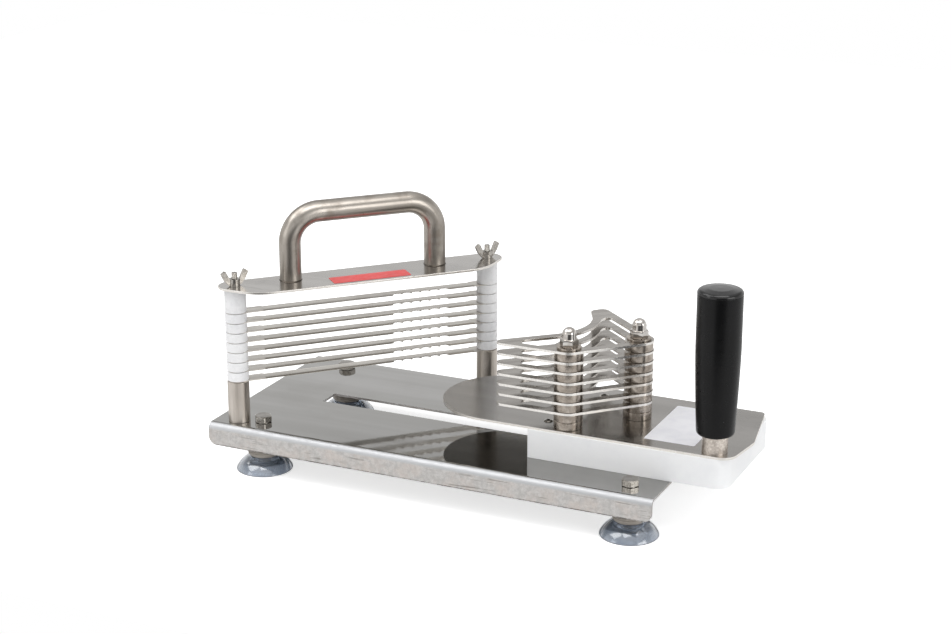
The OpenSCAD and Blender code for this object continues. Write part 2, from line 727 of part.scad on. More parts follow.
module pusher_plate(i) {
    far_out = heading(far_prong_angle - 90);
    far_dir = heading(far_prong_angle);
    mouth = rod_front + along * mouth_along - forward * mouth_out;
    front = rod_front - [0, pusher_edge];
    right = rod_front + forward * pusher_edge;
    far = rod_rear + far_out * pusher_edge;
    mouth_top_angle = 33;
    near_from = near_prong_angle - 90;
    near_at = mouth + mouth_r * heading(near_from);
    tip_out = far + far_dir * far_prong_len;
    tip_in = tip_out - far_out * far_tip_w;
    outline = rounded(concat(
        [with_r(meet(front, [1, 0], near_at, heading(near_prong_angle)), prong_tip_r),
            with_r(meet(front, [1, 0], right, along), pusher_edge),
            with_r(meet(right, along, far, far_dir), pusher_edge),
            with_r(tip_out, prong_tip_r), with_r(tip_in, prong_tip_r)],
        [for (p = arc(mouth, mouth_r, mouth_top_angle, near_from)) with_r(p, 0)]));
    // Opening in the front prong, a rounded triangle
    near_top = near_at + heading(near_from) * pusher_rim;
    near_foot = front + [0, pusher_rim];
    near_side = rod_front - [pusher_edge + pusher_rim * 0.4, 0];
    near_side_angle = 80;
    near_hole = rounded([
        with_r(meet(near_foot, [1, 0], near_top, heading(near_prong_angle)), pusher_rim * 0.7),
        with_r(meet(near_foot, [1, 0], near_side, heading(near_side_angle)), pusher_rim * 0.64),
        with_r(meet(near_top, heading(near_prong_angle), near_side, heading(near_side_angle)), pusher_rim / 2)]);
    // Opening between the rods and the hollow
    inner_r = mouth_r + pusher_rim;
    inner_from = -30;
    inner_to = 14;
    far_side_angle = 98;
    far_in = far - far_out * pusher_rim;
    strip_in = right - forward * pusher_rim;
    far_hole_pts = concat(
        [for (p = arc(mouth, inner_r, inner_from, inner_to)) with_r(p, 0)],
        [with_r(meet(mouth + inner_r * heading(inner_to), heading(far_side_angle), far_in, far_dir),
            pusher_rim * 0.75)],
        [with_r(meet(far_in, far_dir, strip_in, along), 0)],
        [with_r(strip_in + along * pusher_rim / 2, 0)]);
    land_r = pusher_edge - hole_gap * 5;
    color("silver") place() translate([0, 0, pusher_first_z + (i - 1) * blade_pitch]) difference() {
        linear_extrude(pusher_t) polygon(outline);
        translate([0, 0, -over]) linear_extrude(pusher_t + 2 * over) polygon(near_hole);
        translate([0, 0, -over]) difference() {
            linear_extrude(pusher_t + 2 * over) polygon(rounded(far_hole_pts));
            for (p = [rod_front, rod_rear])
                at(p, -over) cylinder(r = land_r, h = pusher_t + 4 * over);
        }
        for (p = [rod_front, rod_rear])
            at(p, -over) cylinder(r = rod_d / 2 + hole_gap, h = pusher_t + 2 * over);
    }
}

module pusher_plate_1() { pusher_plate(1); }
module pusher_plate_2() { pusher_plate(2); }
module pusher_plate_3() { pusher_plate(3); }
module pusher_plate_4() { pusher_plate(4); }
module pusher_plate_5() { pusher_plate(5); }
module pusher_plate_6() { pusher_plate(6); }
module pusher_plate_7() { pusher_plate(7); }

module pusher_rings(p) {
    bore = rod_d + 2 * hole_gap;
    color("gainsboro") place() {
        for (i = [0:foot_ring_count - 1])
            at(p, plate_top_z + i * foot_ring_h) ring(pusher_ring_d, bore, foot_ring_h - thread_gap);
        for (i = [0:blade_count - 3])
            at(p, pusher_first_z + pusher_t + i * blade_pitch) ring(pusher_ring_d, bore, pusher_ring_h);
    }
}

module pusher_washers() {
    color("gainsboro") place() for (p = [rod_front, rod_rear])
        at(p, pusher_top_z) ring(washer_d, rod_d + 2 * hole_gap, washer_t);
}

module dome_nuts() {
    dome_r = dome_d / 2;
    color("gainsboro") place() for (p = [rod_front, rod_rear])
        at(p, pusher_top_z + washer_t) difference() {
            union() {
                hexagon(dome_af, dome_hex_h);
                cylinder(r = dome_r, h = dome_h - dome_r);
                translate([0, 0, dome_h - dome_r]) sphere(r = dome_r);
            }
            translate([0, 0, -over])
                cylinder(r = rod_d / 2 + thread_gap, h = over + rod_in_dome + hole_gap);
        }
}

module pusher_rod_front() { pusher_rod(rod_front); }
module pusher_rod_rear() { pusher_rod(rod_rear); }
module pusher_rings_front() { pusher_rings(rod_front); }
module pusher_rings_rear() { pusher_rings(rod_rear); }

// Grip

grip_z = plate_top_z + spindle_collar_h + slide_gap;
spindle_len = grip_len * 0.86;
clip_z = grip_z + spindle_len * 0.9;
clip_t = spindle_d / 7;
clip_groove_r = spindle_d / 2 - clip_t / 2;
clip_r = spindle_d / 2 + clip_t;

module grip_spindle() {
    collar_r = spindle_collar_d / 2;
    r = spindle_d / 2;
    rim = spindle_collar_h / 14;
    top = grip_z + spindle_len;
    color("gainsboro") place() at(grip_at) rotate_extrude() polygon([
        [0, block_top_z - thread_in], [rod_d / 2, block_top_z - thread_in],
        [rod_d / 2, plate_top_z], [collar_r, plate_top_z],
        [collar_r, plate_top_z + spindle_collar_h - rim],
        [collar_r - rim, plate_top_z + spindle_collar_h], [r, plate_top_z + spindle_collar_h],
        [r, clip_z], [clip_groove_r, clip_z], [clip_groove_r, clip_z + clip_t], [r, clip_z + clip_t],
        [r, top - rim], [r - rim, top], [0, top]]);
}

module grip_clip() {
    color("dimgray") place() at(grip_at, clip_z)
        ring(2 * clip_r, 2 * clip_groove_r + 2 * thread_gap, clip_t);
}

module grip() {
    foot_r = grip_foot_d / 2;
    top_r = grip_d / 2;
    bore_r = spindle_d / 2 + thread_gap;
    body_len = grip_len - grip_cap_h;
    // The grip swells over the lower part of its length and is straight above it
    swell_share = 0.6;
    swell_power = 1.4;
    swell_steps = 14;
    side = [for (i = [1:swell_steps])
        [top_r - (top_r - foot_r) * pow(1 - i / swell_steps, swell_power),
            grip_len * swell_share * i / swell_steps, 0]];
    groove_z = clip_z - grip_z - slide_gap;
    groove_top = groove_z + clip_t + 2 * slide_gap;
    groove_r = clip_r + slide_gap * 2;
    profile = rounded(concat(
        [[bore_r, 0, 0], [foot_r, 0, grip_edge_r]], side,
        [[top_r, body_len, grip_cap_lip * 2], [bore_r, body_len, 0], [bore_r, groove_top, 0],
            [groove_r, groove_top, 0], [groove_r, groove_z, 0], [bore_r, groove_z, 0]]));
    color([0.1, 0.1, 0.1]) place() at(grip_at, grip_z) rotate_extrude() polygon(profile);
}

// The cap closes the bore of the grip with a plug
module grip_cap() {
    cap_r = grip_d / 2 + grip_cap_lip;
    plug_len = grip_len - grip_cap_h - spindle_len - spindle_d / 5;
    profile = rounded([
        [0, -plug_len, 0], [spindle_d / 2, -plug_len, 0], [spindle_d / 2, 0, 0],
        [cap_r, 0, grip_cap_lip * 2], [cap_r, grip_cap_h - grip_crown_h, grip_edge_r],
        [cap_r * 0.5, grip_cap_h - grip_crown_h * 0.15, cap_r], [0, grip_cap_h, 0]]);
    color([0.1, 0.1, 0.1]) place() at(grip_at, grip_z + grip_len - grip_cap_h)
        rotate_extrude() polygon(profile);
}

base();
suction_cup_front_left();
suction_cup_front_right();
suction_cup_rear_left();
suction_cup_rear_right();
foot_collar_front_left();
foot_collar_front_right();
foot_collar_rear_left();
foot_collar_rear_right();
foot_bolts();
post_tube_left();
post_tube_right();
tie_rod_left();
tie_rod_right();
tie_rod_nuts();
tie_rod_washers();
blade_1();
blade_2();
blade_3();
blade_4();
blade_5();
blade_6();
blade_7();
blade_8();
blade_rings_left();
blade_rings_right();
top_spacer_left();
top_spacer_right();
top_plate();
carry_handle();
wing_nut_left();
wing_nut_right();
frame_label();
slide_block();
keeper();
keeper_screws();
carriage_plate();
plate_screws();
thread_inserts();
pusher_rod_front();
pusher_rod_rear();
pusher_plate_1();
pusher_plate_2();
pusher_plate_3();
pusher_plate_4();
pusher_plate_5();
pusher_plate_6();
pusher_plate_7();
pusher_rings_front();
pusher_rings_rear();
pusher_washers();
dome_nuts();
grip_spindle();
grip_clip();
grip();
grip_cap();
carriage_label();
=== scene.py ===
"""Finishes, fine pieces and studio for the tomato slicer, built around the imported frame."""

import math

import bmesh
import bpy
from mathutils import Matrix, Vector

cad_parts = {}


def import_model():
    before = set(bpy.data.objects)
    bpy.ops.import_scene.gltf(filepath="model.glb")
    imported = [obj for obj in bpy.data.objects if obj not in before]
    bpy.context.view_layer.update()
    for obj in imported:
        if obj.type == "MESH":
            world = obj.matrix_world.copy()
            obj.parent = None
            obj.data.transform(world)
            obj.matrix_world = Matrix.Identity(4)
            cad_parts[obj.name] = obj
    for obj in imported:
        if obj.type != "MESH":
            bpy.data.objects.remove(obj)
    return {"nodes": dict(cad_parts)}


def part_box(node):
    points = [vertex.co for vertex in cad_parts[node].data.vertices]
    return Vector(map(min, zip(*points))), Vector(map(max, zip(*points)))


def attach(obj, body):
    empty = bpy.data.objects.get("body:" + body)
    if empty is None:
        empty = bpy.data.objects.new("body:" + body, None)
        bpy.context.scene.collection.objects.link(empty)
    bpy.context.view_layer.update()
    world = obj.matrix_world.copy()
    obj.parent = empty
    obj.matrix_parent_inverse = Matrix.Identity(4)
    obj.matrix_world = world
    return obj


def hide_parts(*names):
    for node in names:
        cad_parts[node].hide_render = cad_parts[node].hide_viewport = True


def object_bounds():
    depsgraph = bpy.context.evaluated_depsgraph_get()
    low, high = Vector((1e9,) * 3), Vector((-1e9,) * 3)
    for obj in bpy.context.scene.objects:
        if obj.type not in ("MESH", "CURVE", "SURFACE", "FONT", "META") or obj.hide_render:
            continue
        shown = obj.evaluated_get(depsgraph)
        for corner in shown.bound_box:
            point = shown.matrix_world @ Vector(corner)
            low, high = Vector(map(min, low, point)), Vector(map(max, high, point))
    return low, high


MM = 0.001

BLADE_COUNT = 8
PUSHER_COUNT = 7
CORNERS = [f"{end}_{side}" for end in ("front", "rear") for side in ("left", "right")]


def tone(red, green, blue):
    """A display colour in 0 to 255 as the shader's linear colour."""
    channels = []
    for value in (red, green, blue):
        share = value / 255
        channels.append(share / 12.92 if share <= 0.04045 else ((share + 0.055) / 1.055) ** 2.4)
    return (*channels, 1)


WHITE = (1, 1, 1, 1)


def new_group(name, inputs, outputs):
    """A shader node group with named inputs (name, kind, default) and outputs (name, kind)."""
    group = bpy.data.node_groups.new(name, "ShaderNodeTree")
    for label, kind, default in inputs:
        socket = group.interface.new_socket(label, in_out="INPUT", socket_type=kind)
        socket.default_value = default
    for label, kind in outputs:
        group.interface.new_socket(label, in_out="OUTPUT", socket_type=kind)
    return group, group.nodes.new("NodeGroupInput"), group.nodes.new("NodeGroupOutput")


def link(tree, source, target):
    tree.links.new(source, target)


def feed(tree, socket, value):
    """Links value to the socket if it is a socket too, and otherwise sets it there."""
    if hasattr(value, "is_output"):
        link(tree, value, socket)
    else:
        socket.default_value = value


def math_node(tree, operation, first, second=None):
    """One math node; an operation with one input takes no second."""
    node = tree.nodes.new("ShaderNodeMath")
    node.operation = operation
    feed(tree, node.inputs[0], first)
    if second is not None:
        feed(tree, node.inputs[1], second)
    return node.outputs["Value"]


def remap(tree, value, low, high, out_low=0.0, out_high=1.0):
    """Stretches value between low and high, smooth at both ends."""
    node = tree.nodes.new("ShaderNodeMapRange")
    node.interpolation_type = "SMOOTHSTEP"
    link(tree, value, node.inputs["Value"])
    for label, number in (("From Min", low), ("From Max", high), ("To Min", out_low), ("To Max", out_high)):
        feed(tree, node.inputs[label], number)
    return node.outputs["Result"]


def blend_colour(tree, factor, first, second):
    """Mixes two colours by factor; each may be a colour or a socket."""
    node = tree.nodes.new("ShaderNodeMix")
    node.data_type = "RGBA"
    colours = [socket for socket in node.inputs if socket.type == "RGBA"]
    factors = [socket for socket in node.inputs if socket.type == "VALUE"]
    for socket, value in ((factors[0], factor), (colours[0], first), (colours[1], second)):
        feed(tree, socket, value)
    return [socket for socket in node.outputs if socket.type == "RGBA"][0]


def blend_value(tree, factor, first, second):
    """Mixes two plain values by factor."""
    node = tree.nodes.new("ShaderNodeMix")
    for socket, value in zip(node.inputs[:1] + node.inputs[2:4], (factor, first, second)):
        feed(tree, socket, value)
    return node.outputs[0]


def noise(tree, vector, scale, detail, roughness=0.5):
    """Cloudy noise from 0 to 1; detail and roughness say how fine it breaks up."""
    node = tree.nodes.new("ShaderNodeTexNoise")
    node.inputs["Detail"].default_value = detail
    node.inputs["Roughness"].default_value = roughness
    link(tree, vector, node.inputs["Vector"])
    feed(tree, node.inputs["Scale"], scale)
    return node.outputs["Fac"]


def stretch(tree, vector, scale):
    """Scales a vector by another, one axis at a time."""
    node = tree.nodes.new("ShaderNodeVectorMath")
    node.operation = "MULTIPLY"
    link(tree, vector, node.inputs[0])
    feed(tree, node.inputs[1], scale)
    return node.outputs["Vector"]


def piece_coordinates(tree):
    """The piece's own metres, so that a finish stays with it when it moves."""
    return tree.nodes.new("ShaderNodeTexCoord").outputs["Object"]


def use_group(tree, group, **values):
    """Places a node group; keyword names are its input names with _ for a space."""
    node = tree.nodes.new("ShaderNodeGroup")
    node.node_tree = group
    for label, value in values.items():
        feed(tree, node.inputs[label.replace("_", " ")], value)
    return node


def make_brushing():
    """Fine lines and broad bands along one direction, for rolled and brushed steel."""
    group, take, give = new_group(
        "Brushing",
        [
            ("Turn", "NodeSocketVector", (0, 0, 0)),
            ("Line Scale", "NodeSocketVector", (20, 1500, 1500)),
            ("Band Scale", "NodeSocketVector", (4, 120, 120)),
        ],
        [("Lines", "NodeSocketFloat"), ("Bands", "NodeSocketFloat")],
    )
    place = piece_coordinates(group)
    for label, scale, detail in (("Lines", "Line Scale", 3), ("Bands", "Band Scale", 2)):
        turned = group.nodes.new("ShaderNodeVectorRotate")
        turned.rotation_type = "EULER_XYZ"
        link(group, place, turned.inputs["Vector"])
        link(group, take.outputs["Turn"], turned.inputs["Rotation"])
        grain = stretch(group, turned.outputs["Vector"], take.outputs[scale])
        link(group, noise(group, grain, 1, detail, 0.6), give.inputs[label])
    return group


def make_smudges():
    """Soft cloudy marks that handling and washing leave."""
    group, take, give = new_group(
        "Handling marks",
        [
            ("Size", "NodeSocketFloat", 30.0),
            ("Spread", "NodeSocketFloat", 0.5),
            ("Shift", "NodeSocketVector", (0, 0, 0)),
        ],
        [("Mask", "NodeSocketFloat"), ("Cloud", "NodeSocketFloat")],
    )
    moved = group.nodes.new("ShaderNodeVectorMath")
    link(group, piece_coordinates(group), moved.inputs[0])
    link(group, take.outputs["Shift"], moved.inputs[1])
    cloud = noise(group, moved.outputs["Vector"], take.outputs["Size"], 5, 0.62)
    low = math_node(group, "SUBTRACT", take.outputs["Spread"], 0.1)
    high = math_node(group, "ADD", take.outputs["Spread"], 0.14)
    link(group, remap(group, cloud, low, high), give.inputs["Mask"])
    link(group, cloud, give.inputs["Cloud"])
    return group


def make_specks():
    """Small round specks, such as water spots, dust and pin marks."""
    group, take, give = new_group(
        "Specks",
        [
            ("Scale", "NodeSocketFloat", 900.0),
            ("Size", "NodeSocketFloat", 0.12),
            ("Amount", "NodeSocketFloat", 0.3),
        ],
        [("Mask", "NodeSocketFloat")],
    )
    place = piece_coordinates(group)
    cells = group.nodes.new("ShaderNodeTexVoronoi")
    link(group, place, cells.inputs["Vector"])
    link(group, take.outputs["Scale"], cells.inputs["Scale"])
    dot = math_node(group, "LESS_THAN", cells.outputs["Distance"], take.outputs["Size"])
    chance = group.nodes.new("ShaderNodeSeparateColor")
    link(group, cells.outputs["Color"], chance.inputs["Color"])
    kept = math_node(group, "LESS_THAN", chance.outputs["Red"], take.outputs["Amount"])
    link(group, math_node(group, "MULTIPLY", dot, kept), give.inputs["Mask"])
    return group


def make_scratches():
    """Short thin scratches along one direction."""
    group, take, give = new_group(
        "Scratches",
        [("Scale", "NodeSocketVector", (14, 900, 900)), ("Amount", "NodeSocketFloat", 0.66)],
        [("Mask", "NodeSocketFloat")],
    )
    place = piece_coordinates(group)
    field = noise(group, stretch(group, place, take.outputs["Scale"]), 1, 1, 0.4)
    deep = math_node(group, "ADD", take.outputs["Amount"], 0.06)
    line = remap(group, field, take.outputs["Amount"], deep)
    broken = remap(group, noise(group, place, 40, 2), 0.45, 0.6)
    link(group, math_node(group, "MULTIPLY", line, broken), give.inputs["Mask"])
    return group


def make_face_masks():
    """Level is 1 on level faces; Upright is 1 on upright ones and 0 where a fold leans over."""
    group, _, give = new_group(
        "Face direction", [], [("Level", "NodeSocketFloat"), ("Upright", "NodeSocketFloat")]
    )
    parts = group.nodes.new("ShaderNodeSeparateXYZ")
    link(group, group.nodes.new("ShaderNodeTexCoord").outputs["Normal"], parts.inputs["Vector"])
    lean = math_node(group, "ABSOLUTE", parts.outputs["Z"])
    link(group, remap(group, lean, 0.9, 0.99), give.inputs["Level"])
    link(group, remap(group, lean, 0.02, 0.4, 1.0, 0.0), give.inputs["Upright"])
    return group


BRUSHING = make_brushing()
SMUDGES = make_smudges()
SPECKS = make_specks()
SCRATCHES = make_scratches()
FACES = make_face_masks()


def new_finish(name):
    """A material with an empty Principled shader; gives the material, its tree and the shader."""
    material = bpy.data.materials.new(name)
    material.use_nodes = True
    tree = material.node_tree
    tree.nodes.clear()
    shader = tree.nodes.new("ShaderNodeBsdfPrincipled")
    out = tree.nodes.new("ShaderNodeOutputMaterial")
    link(tree, shader.outputs["BSDF"], out.inputs["Surface"])
    return material, tree, shader


def set_bump(tree, shader, height, distance):
    """Raises the surface by height times a distance in metres."""
    bump = tree.nodes.new("ShaderNodeBump")
    bump.inputs["Distance"].default_value = distance
    link(tree, height, bump.inputs["Height"])
    link(tree, bump.outputs["Normal"], shader.inputs["Normal"])


def steel(
    name,
    light,
    dark,
    gloss,
    turn=0.0,
    lines=(25, 1600, 1600),
    bands=(5, 130, 130),
    line_depth=0.000003,
    line_tone=0.25,
    mark_size=35.0,
    mark_tone=0.3,
    mark_tint=None,
):
    """Stainless steel: light and dark are its colours, gloss its roughness from low to high."""
    material, tree, shader = new_finish(name)
    shader.inputs["Metallic"].default_value = 1.0
    brushing = use_group(tree, BRUSHING, Turn=(0, 0, turn), Line_Scale=lines, Band_Scale=bands)
    marks = use_group(tree, SMUDGES, Size=mark_size, Spread=0.56)
    specks = use_group(tree, SPECKS, Scale=900.0, Size=0.16, Amount=0.1)
    streaks = remap(tree, brushing.outputs["Bands"], 0.3, 0.7)
    colour = blend_colour(tree, streaks, dark, light)
    fine = remap(tree, brushing.outputs["Lines"], 0.25, 0.75, 0.0, line_tone)
    colour = blend_colour(tree, fine, colour, dark)
    worn = math_node(tree, "MULTIPLY", marks.outputs["Mask"], mark_tone)
    colour = blend_colour(tree, worn, colour, mark_tint or dark)
    dotted = math_node(tree, "MULTIPLY", specks.outputs["Mask"], 0.4)
    colour = blend_colour(tree, dotted, colour, dark)
    link(tree, colour, shader.inputs["Base Color"])
    rough = remap(tree, brushing.outputs["Lines"], 0.2, 0.8, gloss[0], gloss[1])
    rough = math_node(tree, "ADD", rough, math_node(tree, "MULTIPLY", marks.outputs["Mask"], 0.06))
    link(tree, rough, shader.inputs["Roughness"])
    set_bump(tree, shader, brushing.outputs["Lines"], line_depth)
    return material, tree, shader, colour, rough


def paint_lit_rims(made, light, dark, gloss):
    """Paints a steel finish's rims and sides lighter than its level faces: a painted highlight."""
    material, tree, shader, colour, rough = made
    faces = use_group(tree, FACES).outputs["Level"]
    grain = noise(tree, piece_coordinates(tree), 700, 3)
    # The lighter rim colour is a painted highlight on the cut edges.
    rim = blend_colour(tree, remap(tree, grain, 0.3, 0.7), dark, light)
    link(tree, blend_colour(tree, faces, rim, colour), shader.inputs["Base Color"])
    link(tree, blend_value(tree, faces, gloss, rough), shader.inputs["Roughness"])
    return material


def base_steel():
    """Rolled sheet: bright on top, matt and mottled on the flanges, darker along their foot; its fold
    painted cooler and darker as painted shade.
    """
    material, tree, shader, colour, rough = steel(
        "Base sheet steel",
        tone(166, 165, 163),
        tone(154, 153, 150),
        (0.03, 0.06),
        lines=(14, 1300, 900),
        bands=(2.5, 40, 30),
        line_depth=0.0000006,
        line_tone=0.2,
        mark_size=14.0,
        mark_tint=tone(148, 146, 142),
    )
    faces = use_group(tree, FACES)
    top = faces.outputs["Level"]
    place = piece_coordinates(tree)
    mottle = use_group(tree, SMUDGES, Size=240.0, Spread=0.52)
    patches = use_group(tree, SMUDGES, Size=55.0, Spread=0.52, Shift=(0.3, 0.1, 0.2))
    scratches = use_group(tree, SCRATCHES, Scale=(22, 700, 700), Amount=0.62)
    worn = remap(tree, mottle.outputs["Cloud"], 0.36, 0.64)
    side = blend_colour(tree, worn, tone(189, 187, 185), tone(212, 210, 208))
    grain = remap(tree, noise(tree, place, 1100, 3, 0.65), 0.35, 0.7)
    side = blend_colour(tree, math_node(tree, "MULTIPLY", grain, 0.35), side, tone(170, 165, 160))
    warm = math_node(tree, "MULTIPLY", patches.outputs["Mask"], 0.4)
    side = blend_colour(tree, warm, side, tone(212, 200, 192))
    marked = math_node(tree, "MULTIPLY", scratches.outputs["Mask"], 0.55)
    side = blend_colour(tree, marked, side, tone(112, 104, 96))
    height = tree.nodes.new("ShaderNodeSeparateXYZ")
    link(tree, place, height.inputs["Vector"])
    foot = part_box("base")[0].z
    # The flanges get darker along their lowest 1.3 mm, more so in broken spots.
    edge = remap(tree, height.outputs["Z"], foot + 0.1 * MM, foot + 1.3 * MM, 1.0, 0.0)
    foot_blotches = remap(tree, noise(tree, place, 200, 4, 0.7), 0.44, 0.54)
    darkened_foot = math_node(tree, "MULTIPLY", edge, math_node(tree, "MAXIMUM", foot_blotches, 0.4))
    side = blend_colour(tree, math_node(tree, "MULTIPLY", darkened_foot, 0.9), side, tone(52, 45, 40))
    # Where the sheet leans over at the fold, it is painted cooler and darker than the flanges: painted shade
    # that tones down its highlight.
    side = blend_colour(tree, faces.outputs["Upright"], tone(184, 185, 187), side)
    link(tree, blend_colour(tree, top, side, colour), shader.inputs["Base Color"])
    matt = remap(tree, mottle.outputs["Cloud"], 0.3, 0.7, 0.44, 0.54)
    link(tree, blend_value(tree, top, matt, rough), shader.inputs["Roughness"])
    return material


def plate_steel(name, light, dark):
    """Brushed plate, its cut rims painted lighter as a painted highlight."""
    made = steel(
        name,
        light,
        dark,
        (0.16, 0.24),
        lines=(18, 1300, 1300),
        bands=(4, 40, 40),
        line_depth=0.0000008,
        line_tone=0.2,
        mark_size=18.0,
        mark_tint=tone(144, 141, 137),
    )
    return paint_lit_rims(made, tone(236, 232, 227), tone(224, 219, 213), 0.3)


def pusher_steel():
    """Laser-cut plates, grained along the line of the rods."""
    made = steel(
        "Pusher steel",
        tone(168, 164, 158),
        tone(142, 137, 131),
        (0.14, 0.22),
        turn=-blade_angle(),
        lines=(60, 1400, 1400),
        bands=(14, 120, 120),
        line_depth=0.000001,
    )
    # The rims and sides are painted lighter than the level faces: a painted highlight.
    return paint_lit_rims(made, tone(242, 239, 235), tone(228, 224, 219), 0.24)


def blade_steel():
    """Thin ground blades, grained along their length."""
    return steel(
        "Blade steel",
        tone(221, 217, 210),
        tone(192, 187, 180),
        (0.3, 0.4),
        turn=-blade_angle(),
        lines=(25, 2500, 2500),
        bands=(7, 300, 300),
    )[0]


def paint_shaded_foot(made, height, reach, tint):
    """Darkens a finish up to a height, fading out over a reach above it: painted shade at a foot."""
    material, tree, shader, colour, rough = made
    place = tree.nodes.new("ShaderNodeSeparateXYZ")
    link(tree, piece_coordinates(tree), place.inputs["Vector"])
    mask = remap(tree, place.outputs["Z"], height, height + reach, 1.0, 0.0)
    link(tree, blend_colour(tree, mask, colour, tint), shader.inputs["Base Color"])
    return material


def tube_steel():
    """The bent bar of the handle, stained, with painted shade at its feet where it meets the plate."""
    made = steel(
        "Tube steel",
        tone(186, 180, 172),
        tone(150, 143, 135),
        (0.26, 0.36),
        turn=-blade_angle(),
        lines=(40, 1500, 40),
        bands=(8, 200, 8),
        line_tone=0.35,
        mark_size=60.0,
        mark_tone=0.5,
        mark_tint=tone(118, 108, 98),
    )
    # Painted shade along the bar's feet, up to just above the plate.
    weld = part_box("top_plate")[1].z + 0.4 * MM
    return paint_shaded_foot(made, weld, 0.7 * MM, tone(70, 64, 58))


def post_steel():
    """Drawn tube, grained along its height."""
    return steel(
        "Post tube steel",
        tone(211, 204, 196),
        tone(174, 166, 157),
        (0.26, 0.36),
        lines=(1500, 1500, 25),
        bands=(170, 170, 6),
        line_tone=0.35,
    )[0]


def bright_steel():
    """Turned rings, rods and washers."""
    return steel(
        "Turned bright steel",
        tone(195, 186, 176),
        tone(153, 143, 133),
        (0.2, 0.3),
        lines=(900, 900, 2600),
        bands=(120, 120, 160),
        line_depth=0.000002,
        line_tone=0.35,
        mark_size=240.0,
        mark_tint=tone(136, 126, 116),
    )[0]


def nut_steel():
    """Rolled bolts and pressed nuts, darker on their level faces, with rims and sides painted lighter as a
    painted highlight.
    """
    made = steel(
        "Bolt steel",
        tone(164, 160, 155),
        tone(136, 132, 126),
        (0.14, 0.22),
        lines=(300, 300, 300),
        bands=(90, 90, 90),
        line_depth=0.000001,
        mark_size=200.0,
        mark_tint=tone(122, 117, 110),
    )
    return paint_lit_rims(made, tone(192, 188, 182), tone(156, 151, 144), 0.24)


def dome_steel():
    """Polished dome nuts."""
    return steel(
        "Polished nut steel",
        tone(216, 213, 209),
        tone(180, 174, 168),
        (0.05, 0.1),
        lines=(600, 600, 1800),
        bands=(120, 120, 120),
        line_depth=0.000001,
    )[0]


def spindle_steel():
    """The frosted collar under the grip."""
    return steel(
        "Frosted spindle steel",
        tone(232, 224, 215),
        tone(190, 180, 170),
        (0.32, 0.44),
        lines=(1500, 1500, 1500),
        bands=(500, 500, 500),
        line_depth=0.00002,
        line_tone=0.45,
    )[0]


def clip_steel():
    """Dark spring steel, inside the grip."""
    return steel("Spring steel", tone(120, 116, 112), tone(78, 74, 70), (0.25, 0.4))[0]


def insert_brass():
    """Turned brass, inside the slide block."""
    return steel("Thread insert brass", tone(206, 172, 98), tone(160, 126, 66), (0.2, 0.35))[0]


# How far light goes into the white plastic, in metres, alike for red, green and blue
SOFT_REACH = 2 * MM
SOFT_SPREAD = (1, 1, 1)


def moulded(name, colour, shade, rough, grain_scale, grain_depth, soft=0.0):
    """Moulded plastic or rubber with a faint cloudy tone, fine grain and specks."""
    material, tree, shader = new_finish(name)
    marks = use_group(tree, SMUDGES, Size=38.0, Spread=0.5)
    specks = use_group(tree, SPECKS, Scale=700.0, Size=0.12, Amount=0.08)
    tinted = blend_colour(tree, marks.outputs["Mask"], colour, shade)
    tinted = blend_colour(tree, math_node(tree, "MULTIPLY", specks.outputs["Mask"], 0.3), tinted, shade)
    link(tree, tinted, shader.inputs["Base Color"])
    grain = noise(tree, piece_coordinates(tree), grain_scale, 3)
    link(tree, remap(tree, grain, 0.25, 0.75, rough[0], rough[1]), shader.inputs["Roughness"])
    set_bump(tree, shader, grain, grain_depth)
    if soft:
        shader.inputs["Subsurface Weight"].default_value = soft
        shader.inputs["Subsurface Radius"].default_value = SOFT_SPREAD
        shader.inputs["Subsurface Scale"].default_value = SOFT_REACH
    return material


def white_spacer():
    """Smooth white rings and spacers."""
    return moulded(
        "White spacer plastic", tone(250, 250, 251), tone(243, 243, 245), (0.24, 0.34), 300, 0.000004, 0.2
    )


def white_block():
    """Machined cutting-board plastic."""
    return moulded(
        "White block plastic", tone(249, 250, 251), tone(244, 245, 247), (0.3, 0.42), 260, 0.00001, 0.2
    )


def black_grip():
    """Satin black, with little shine."""
    material = moulded(
        "Black grip plastic", tone(6, 6, 7), tone(9, 9, 10), (0.26, 0.32), 120, 0.0000005
    )
    material.node_tree.nodes["Principled BSDF"].inputs["Specular IOR Level"].default_value = 0.22
    return material


def grip_cap_plastic():
    """The glossier cap over the grip's end."""
    return moulded("Grip cap plastic", tone(9, 9, 10), tone(13, 13, 14), (0.12, 0.2), 1200, 0.000002)


def collar_rubber():
    """Grey-brown rubber."""
    return moulded(
        "Collar rubber", tone(172, 165, 156), tone(142, 134, 126), (0.34, 0.5), 900, 0.00002
    )


def cup_plastic():
    """Clear smoke-blue vinyl, a little cloudy."""
    material = moulded(
        "Cup vinyl", tone(168, 179, 194), tone(144, 156, 172), (0.03, 0.08), 400, 0.000004
    )
    shader = material.node_tree.nodes["Principled BSDF"]
    shader.inputs["Transmission Weight"].default_value = 0.7
    shader.inputs["IOR"].default_value = 1.5
    shader.inputs["Coat Weight"].default_value = 1.0
    shader.inputs["Coat Roughness"].default_value = 0.13
    shader.inputs["Coat IOR"].default_value = 2.1
    return material


def cup_hub_plastic():
    """The thick middle of a cup, where the vinyl looks dark."""
    material = moulded(
        "Cup hub vinyl", tone(104, 116, 133), tone(82, 94, 112), (0.05, 0.12), 400, 0.000004
    )
    shader = material.node_tree.nodes["Principled BSDF"]
    shader.inputs["Transmission Weight"].default_value = 0.5
    shader.inputs["IOR"].default_value = 1.5
    return material


def label_film(name, colour, shade):
    """Plain printed film."""
    return moulded(name, colour, shade, (0.3, 0.4), 300, 0.000005)


